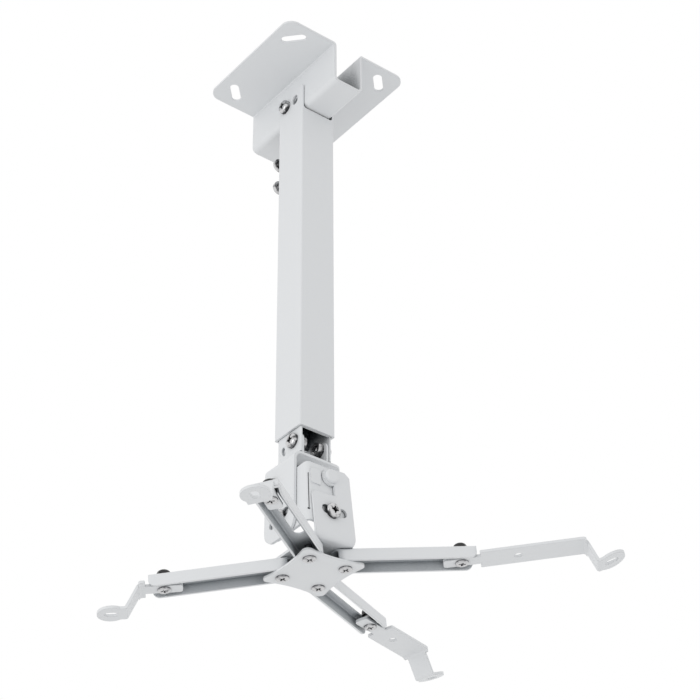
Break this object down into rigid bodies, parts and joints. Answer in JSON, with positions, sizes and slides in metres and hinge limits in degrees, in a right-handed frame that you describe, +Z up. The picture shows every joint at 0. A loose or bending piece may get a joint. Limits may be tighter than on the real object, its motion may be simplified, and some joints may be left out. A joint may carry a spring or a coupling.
{
  "type": "projector ceiling mount",
  "caption": "Ceiling mount: slotted top-hat bracket, telescopic square column, tilting and swivelling head, and a spider of swinging arms with stepped bars that hold a projector.",
  "frame": {"origin": "centre of the ceiling bracket's upper face, on the column's axis", "axes": "+Z up into the ceiling; the bracket's channel lies along Y; -X and -Y face the picture's camera"},
  "size_m": [0.2884, 0.2318, 0.4581],
  "materials": {
    "white_powder_coat": "satin",
    "bright_screw": "polished",
    "zinc_hardware": "satin",
    "black_knob": "satin"
  },
  "bodies": {
    "ceiling": {"ceiling_bracket": "white_powder_coat", "tilt_bolt": "bright_screw", "tilt_washer": "zinc_hardware", "tilt_nut": "zinc_hardware"},
    "column": {"outer_tube": "white_powder_coat"},
    "slider": {"inner_tube": "white_powder_coat", "height_screws": "bright_screw", "height_washers": "zinc_hardware", "height_nuts": "zinc_hardware", "low_pivot_screws": "bright_screw", "low_pivot_nuts": "zinc_hardware"},
    "tilter": {"tilt_cradle": "white_powder_coat", "swivel_bolt": "zinc_hardware", "swivel_washers": "zinc_hardware", "swivel_nut": "zinc_hardware"},
    "head": {"swivel_head": "white_powder_coat", "pitch_screw": "bright_screw", "pitch_nut": "zinc_hardware"},
    "block": {"tilt_block": "white_powder_coat", "pitch_clamp_screw": "bright_screw", "pitch_clamp_nut": "zinc_hardware", "roll_pivot": "white_powder_coat", "roll_clamp_screw": "bright_screw", "roll_clamp_nut": "zinc_hardware"},
    "deck": {"deck": "white_powder_coat", "spider_plate": "white_powder_coat", "corner_screws": "bright_screw"},
    "left_arm": {"left_arm": "white_powder_coat", "left_lock_screw": "bright_screw", "left_lock_sleeve": "zinc_hardware", "left_knob_nut": "black_knob"},
    "left_bar": {"left_bar": "white_powder_coat"},
    "front_arm": {"front_arm": "white_powder_coat", "front_lock_screw": "bright_screw", "front_lock_sleeve": "zinc_hardware", "front_knob_nut": "black_knob"},
    "front_bar": {"front_bar": "white_powder_coat"},
    "right_arm": {"right_arm": "white_powder_coat", "right_lock_screw": "bright_screw", "right_lock_sleeve": "zinc_hardware", "right_knob_nut": "black_knob"},
    "right_bar": {"right_bar": "white_powder_coat"},
    "rear_arm": {"rear_arm": "white_powder_coat", "rear_lock_screw": "bright_screw", "rear_lock_sleeve": "zinc_hardware", "rear_knob_nut": "black_knob"},
    "rear_bar": {"rear_bar": "white_powder_coat"}
  },
  "joints": [
    {"name": "column_tilt", "type": "hinge", "parent": "ceiling", "child": "column", "pos_m": [0, 0.0066, -0.0259], "axis": [1, 0, 0], "range_deg": [-2, 6]},
    {"name": "height_slide", "type": "slide", "parent": "column", "child": "slider", "axis": [0, 0, -1], "range_m": [0, 0.21]},
    {"name": "foot_tilt", "type": "hinge", "parent": "slider", "child": "tilter", "pos_m": [0, -0.0046, -0.3363], "axis": [1, 0, 0], "range_deg": [-10, 10]},
    {"name": "head_swivel", "type": "hinge", "parent": "tilter", "child": "head", "pos_m": [0, 0, -0.3509], "axis": [0, 0, 1], "range_deg": [-180, 180]},
    {"name": "head_pitch", "type": "hinge", "parent": "head", "child": "block", "pos_m": [0, 0.0075, -0.3695], "axis": [1, 0, 0], "range_deg": [-9.3, 14.7]},
    {"name": "head_roll", "type": "hinge", "parent": "block", "child": "deck", "pos_m": [0, -0.02997, -0.37224], "axis": [0, 0.9989, -0.0471], "range_deg": [-8, 16]},
    {"name": "left_arm_swing", "type": "hinge", "parent": "deck", "child": "left_arm", "pos_m": [-0.00976, 0.01104, -0.43246], "axis": [-0.0698, 0.047, 0.9965], "range_deg": [-36.2, 33.8]},
    {"name": "left_bar_swing", "type": "hinge", "parent": "left_arm", "child": "left_bar", "pos_m": [-0.06679, 0.06561, -0.43902], "axis": [-0.0698, 0.047, 0.9965], "range_deg": [-23, 5]},
    {"name": "front_arm_swing", "type": "hinge", "parent": "deck", "child": "front_arm", "pos_m": [-0.00976, -0.01893, -0.43105], "axis": [-0.0698, 0.047, 0.9965], "range_deg": [-25.4, 44.6]},
    {"name": "front_bar_swing", "type": "hinge", "parent": "front_arm", "child": "front_bar", "pos_m": [-0.07416, -0.06497, -0.43338], "axis": [-0.0698, 0.047, 0.9965], "range_deg": [-16, 12]},
    {"name": "right_arm_swing", "type": "hinge", "parent": "deck", "child": "right_arm", "pos_m": [0.02016, -0.01883, -0.42896], "axis": [-0.0698, 0.047, 0.9965], "range_deg": [-49.1, 20.9]},
    {"name": "right_bar_swing", "type": "hinge", "parent": "right_arm", "child": "right_bar", "pos_m": [0.08796, -0.05923, -0.4223], "axis": [-0.0698, 0.047, 0.9965], "range_deg": [-1, 27]},
    {"name": "rear_arm_swing", "type": "hinge", "parent": "deck", "child": "rear_arm", "pos_m": [0.02016, 0.01114, -0.43037], "axis": [-0.0698, 0.047, 0.9965], "range_deg": [-15, 55]},
    {"name": "rear_bar_swing", "type": "hinge", "parent": "rear_arm", "child": "rear_bar", "pos_m": [0.09177, 0.04481, -0.42694], "axis": [-0.0698, 0.047, 0.9965], "range_deg": [-7, 21]}
  ]
}
